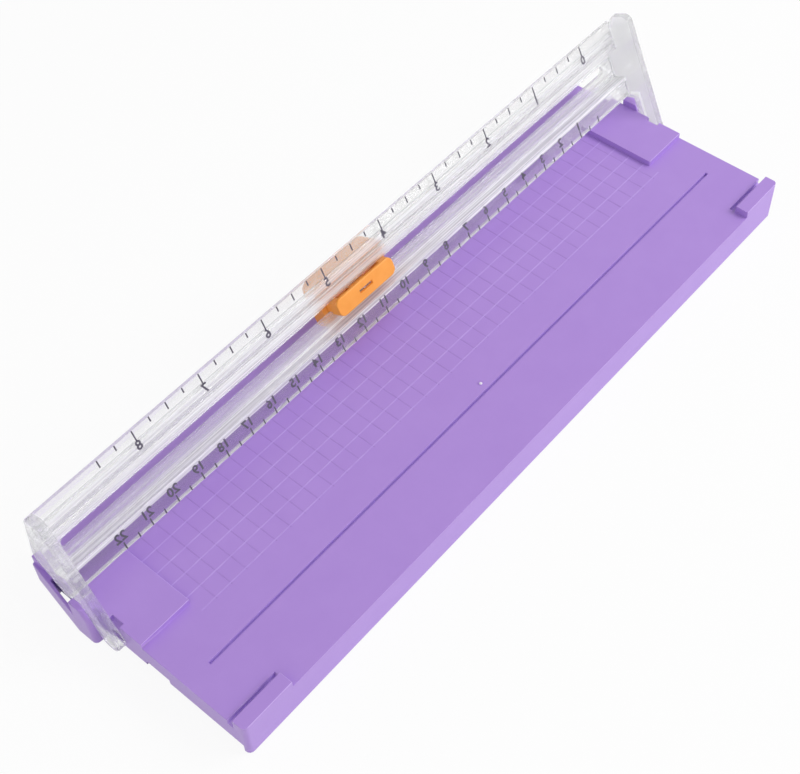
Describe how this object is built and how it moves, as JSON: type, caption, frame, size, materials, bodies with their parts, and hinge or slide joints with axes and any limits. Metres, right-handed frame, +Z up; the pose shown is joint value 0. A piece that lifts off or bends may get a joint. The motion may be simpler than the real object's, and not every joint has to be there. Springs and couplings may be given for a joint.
{
  "type": "sliding blade paper trimmer",
  "caption": "Desk paper trimmer: a grooved bed with paper guides, a clear hinged rail with printed scales, and a sliding carriage whose thumb button presses a small blade into the groove.",
  "frame": {"origin": "floor plane under the middle of the bed", "axes": "+X along the rail to the right, +Y from the front edge to the back, +Z up"},
  "size_m": [0.2626, 0.084, 0.0502],
  "materials": {
    "lavender_plastic": "satin moulded lavender plastic",
    "clear_plastic": "polished clear plastic",
    "orange_plastic": "satin moulded orange plastic",
    "scale_ink": "matt printed ink",
    "blade_steel": "ground steel",
    "foot_rubber": "matt black rubber"
  },
  "bodies": {
    "base": {"bed": "lavender_plastic", "left_end_cheek": "lavender_plastic", "right_end_cheek": "lavender_plastic", "foot_front_left": "foot_rubber", "foot_front_right": "foot_rubber", "foot_back_left": "foot_rubber", "foot_back_right": "foot_rubber"},
    "rail": {"rail": "clear_plastic", "left_ear": "clear_plastic", "right_ear": "clear_plastic", "cm_scale": "scale_ink", "inch_scale": "scale_ink"},
    "carriage": {"carriage_shoe": "orange_plastic", "thumb_grip": "orange_plastic", "chamber_plate": "orange_plastic", "return_springs": "blade_steel"},
    "cutter": {"press_button": "orange_plastic", "blade_holder": "orange_plastic", "blade": "blade_steel", "blade_pin": "blade_steel"}
  },
  "joints": [
    {"name": "rail_hinge", "type": "hinge", "parent": "base", "child": "rail", "pos_m": [0, 0.0073, 0.0083], "axis": [1, 0, 0], "range_deg": [0, 115]},
    {"name": "carriage_slide", "type": "slide", "parent": "rail", "child": "carriage", "axis": [1, 0, 0], "range_m": [-0.1065, 0.1135]},
    {"name": "blade_press", "type": "slide", "parent": "carriage", "child": "cutter", "axis": [0, -0.9063, 0.4226], "range_m": [0, 0.0025], "stiffness_N_per_m": 400, "springref_m": -0.002, "deforming": ["return_springs"]}
  ]
}
